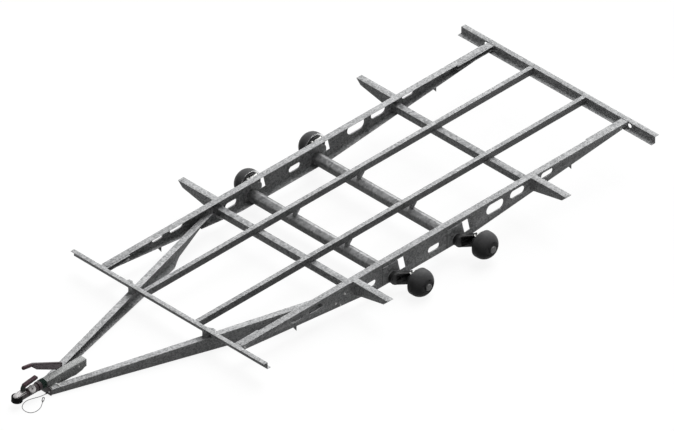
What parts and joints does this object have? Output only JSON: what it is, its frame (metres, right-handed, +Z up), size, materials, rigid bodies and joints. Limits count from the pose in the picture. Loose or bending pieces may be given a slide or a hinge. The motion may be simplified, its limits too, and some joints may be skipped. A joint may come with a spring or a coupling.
{
  "type": "twin-axle trailer chassis",
  "caption": "Bare galvanised trailer chassis: slotted side rails, V drawbar, overrun coupling and braked hubs on two axles, with no wheels.",
  "frame": {"origin": "on the floor under the middle of the chassis, the breakaway cable left aside", "axes": "+X forwards to the coupling, +Y to the left, +Z up; the chassis rests 3.5 degrees nose down"},
  "size_m": [6.0838, 2.328, 0.4757],
  "materials": {
    "galvanised_steel": "dull hot-dip zinc with fine spangle",
    "galvanised_casting": "galvanised casting, matt",
    "coupling_zinc": "satin zinc plate",
    "bright_zinc": "bright zinc plate",
    "drum_black": "satin black paint on cast iron",
    "arm_black": "satin black paint",
    "black_rubber": "matt",
    "dark_plastic": "moulded, satin, dark maroon",
    "lever_steel": "satin grey",
    "cable_steel": "stranded wire in a clear sheath"
  },
  "bodies": {
    "chassis": {"axle_plates_front": "galvanised_steel", "axle_plates_rear": "galvanised_steel", "axle_tube_front": "galvanised_steel", "axle_tube_rear": "galvanised_steel", "backplate_front_left": "bright_zinc", "backplate_front_right": "bright_zinc", "backplate_rear_left": "bright_zinc", "backplate_rear_right": "bright_zinc", "bearer_posts": "galvanised_steel", "breakaway_cable": "cable_steel", "cable_anchor": "cable_steel", "cable_clip": "cable_steel", "coupling_handle": "dark_plastic", "coupling_head": "coupling_zinc", "cross_member_front": "galvanised_steel", "cross_member_rear": "galvanised_steel", "cup_ring": "black_rubber", "drawbar_arm_left": "galvanised_steel", "drawbar_arm_right": "galvanised_steel", "floor_bearer_left": "galvanised_steel", "floor_bearer_right": "galvanised_steel", "front_member": "galvanised_steel", "front_spacers": "galvanised_steel", "handbrake_grip": "dark_plastic", "handbrake_lever": "lever_steel", "nose_plate": "arm_black", "outrigger_front_left": "galvanised_steel", "outrigger_front_right": "galvanised_steel", "outrigger_rear_left": "galvanised_steel", "outrigger_rear_right": "galvanised_steel", "overrun_housing": "galvanised_casting", "rail_extensions_front": "galvanised_steel", "rail_extensions_rear": "galvanised_steel", "rail_left": "galvanised_steel", "rail_right": "galvanised_steel", "rear_beam": "galvanised_steel", "shaft_bellows": "black_rubber", "steady_tabs": "galvanised_steel", "swing_arm_front_left": "arm_black", "swing_arm_front_right": "arm_black", "swing_arm_rear_left": "arm_black", "swing_arm_rear_right": "arm_black"},
    "hub_front_left": {"brake_drum_front_left": "drum_black"},
    "hub_front_right": {"brake_drum_front_right": "drum_black"},
    "hub_rear_left": {"brake_drum_rear_left": "drum_black"},
    "hub_rear_right": {"brake_drum_rear_right": "drum_black"}
  },
  "joints": [
    {"name": "hub_front_left_spin", "type": "hinge", "parent": "chassis", "child": "hub_front_left", "pos_m": [-0.49474, 0.9865, 0.1165], "axis": [0, 1, 0], "continuous": true},
    {"name": "hub_front_right_spin", "type": "hinge", "parent": "chassis", "child": "hub_front_right", "pos_m": [-0.49474, -0.9865, 0.1165], "axis": [0, 1, 0], "continuous": true},
    {"name": "hub_rear_left_spin", "type": "hinge", "parent": "chassis", "child": "hub_rear_left", "pos_m": [-1.21343, 0.9865, 0.1599], "axis": [0, 1, 0], "continuous": true},
    {"name": "hub_rear_right_spin", "type": "hinge", "parent": "chassis", "child": "hub_rear_right", "pos_m": [-1.21343, -0.9865, 0.1599], "axis": [0, 1, 0], "continuous": true}
  ]
}
